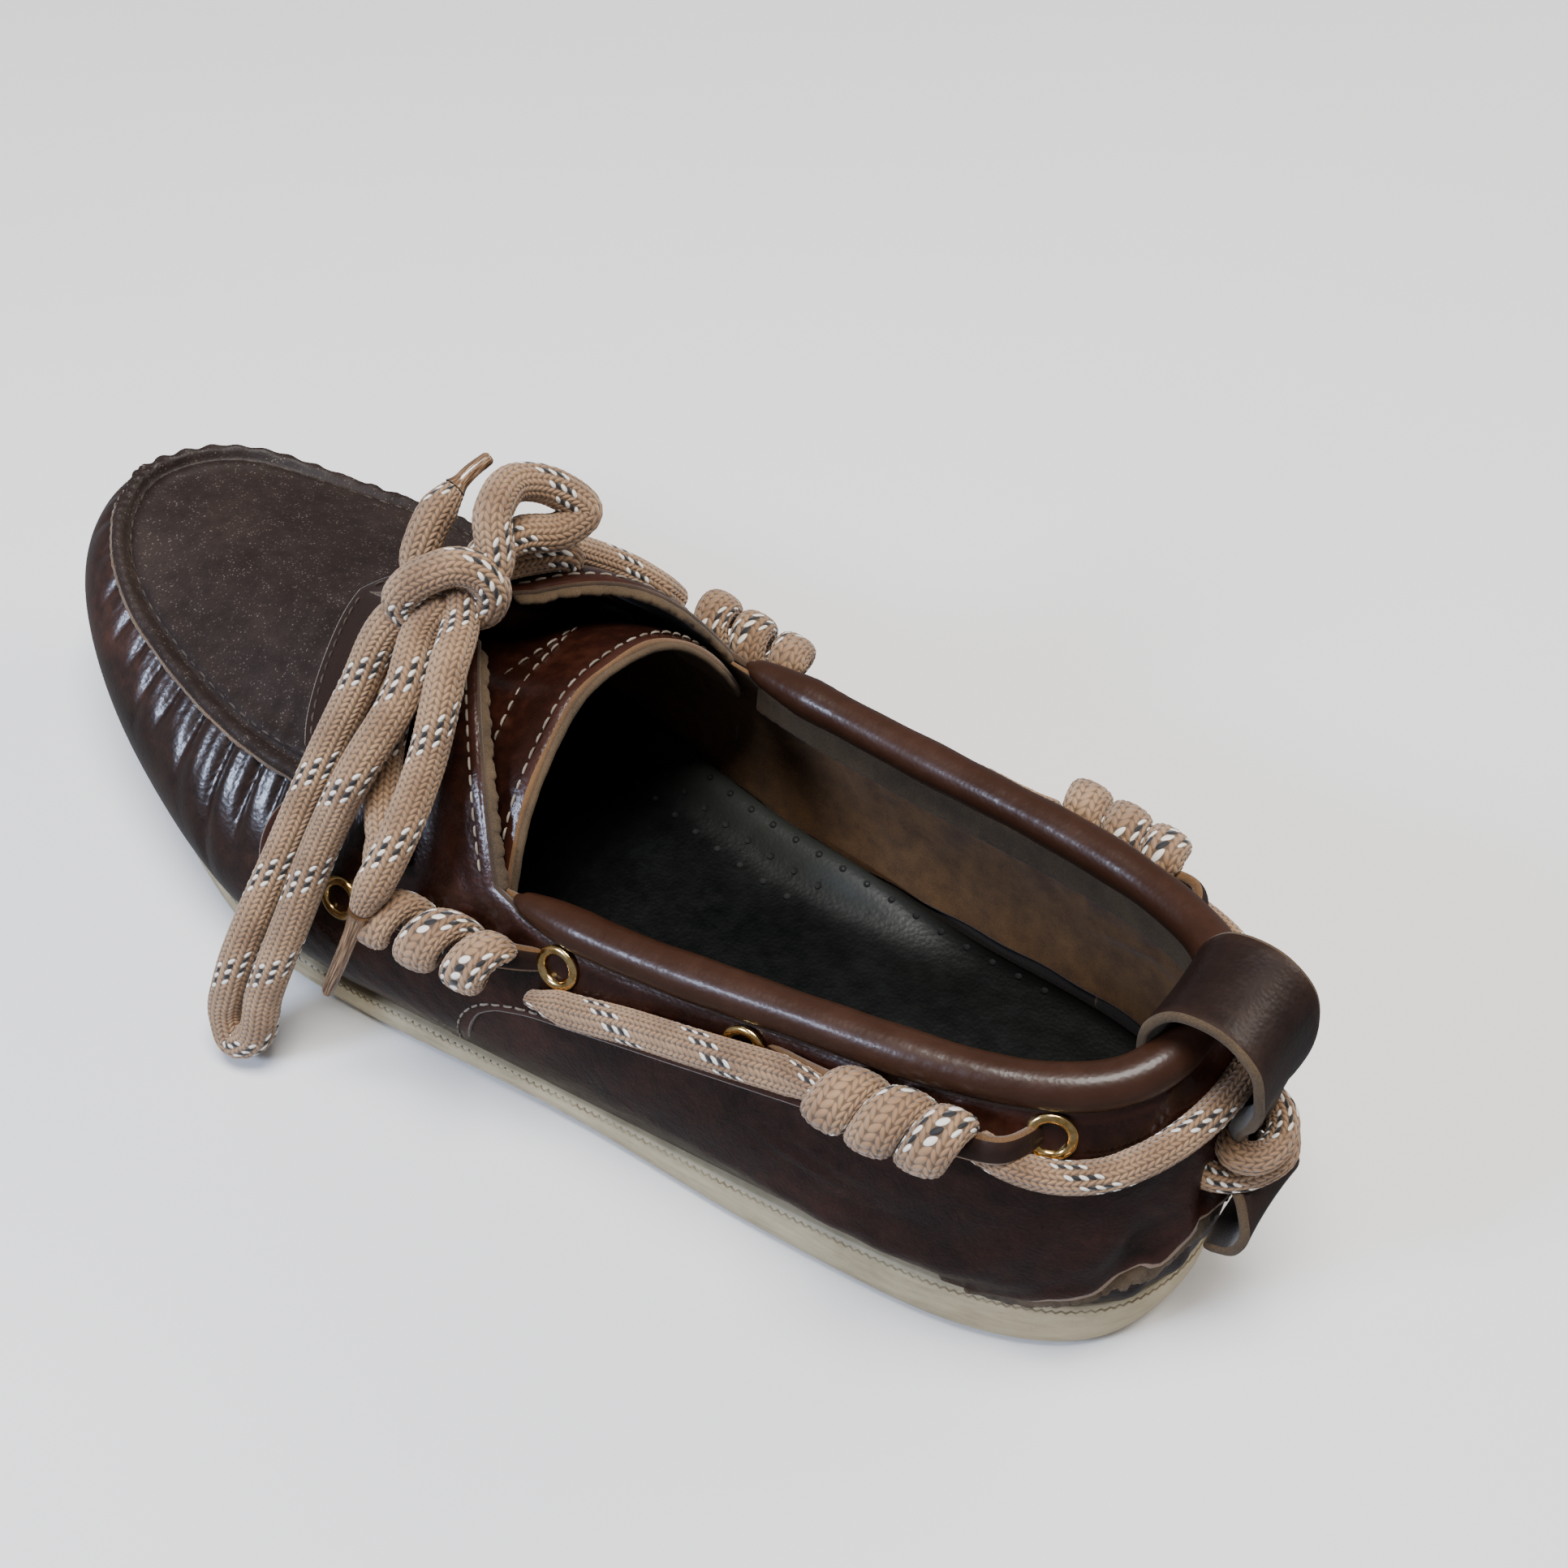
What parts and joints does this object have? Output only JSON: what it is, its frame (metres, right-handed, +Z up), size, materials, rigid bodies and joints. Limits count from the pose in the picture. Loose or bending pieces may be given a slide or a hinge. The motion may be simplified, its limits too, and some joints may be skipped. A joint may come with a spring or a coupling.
{
  "type": "left loafer shoe",
  "caption": "Left men's lace-up loafer in dark brown leather with a gathered apron toe, gold eyelets, a rope lace round the collar, a heel strap and a cream sole.",
  "frame": {"origin": "middle of the shoe's bounding box without its loose lace ends, on the ground", "axes": "+X from heel to toe, +Y to the outer side of the left foot, +Z up"},
  "size_m": [0.3016, 0.1293, 0.1086],
  "materials": {
    "sole_rubber": "matte, slightly dirty",
    "dark_leather": "polished",
    "saddle_leather": "polished",
    "strap_leather": "semi-matte with raw suede edges",
    "sock_leather": "smooth",
    "rope": "braided",
    "eyelet_gold": "polished",
    "lace_tip": "clear over the braid"
  },
  "bodies": {
    "root": {"bow_loop_inner": "rope", "bow_loop_outer": "rope", "coil_back_inner": "rope", "coil_back_outer": "rope", "coil_front_inner": "rope", "coil_front_outer": "rope", "collar_roll": "saddle_leather", "eyelet_inner_1": "eyelet_gold", "eyelet_inner_2": "eyelet_gold", "eyelet_inner_3": "eyelet_gold", "eyelet_inner_4": "eyelet_gold", "eyelet_outer_1": "eyelet_gold", "eyelet_outer_2": "eyelet_gold", "eyelet_outer_3": "eyelet_gold", "eyelet_outer_4": "eyelet_gold", "facing_eyelet_inner_1": "eyelet_gold", "facing_eyelet_inner_2": "eyelet_gold", "facing_eyelet_outer_1": "eyelet_gold", "facing_eyelet_outer_2": "eyelet_gold", "heel_counter": "dark_leather", "heel_rope": "rope", "heel_strap": "strap_leather", "insole": "sock_leather", "lace_bars": "rope", "lace_end_front": "rope", "lace_end_outer": "rope", "lace_knot": "rope", "lace_tip_front": "lace_tip", "lace_tip_outer": "lace_tip", "outsole": "sole_rubber", "side_rope_inner": "rope", "side_rope_outer": "rope", "strap_wrap": "rope", "thong_inner_1": "strap_leather", "thong_inner_2": "strap_leather", "thong_inner_3": "strap_leather", "thong_inner_4": "strap_leather", "thong_outer_1": "strap_leather", "thong_outer_2": "strap_leather", "thong_outer_3": "strap_leather", "thong_outer_4": "strap_leather", "tongue": "dark_leather", "upper": "dark_leather"}
  },
  "joints": []
}
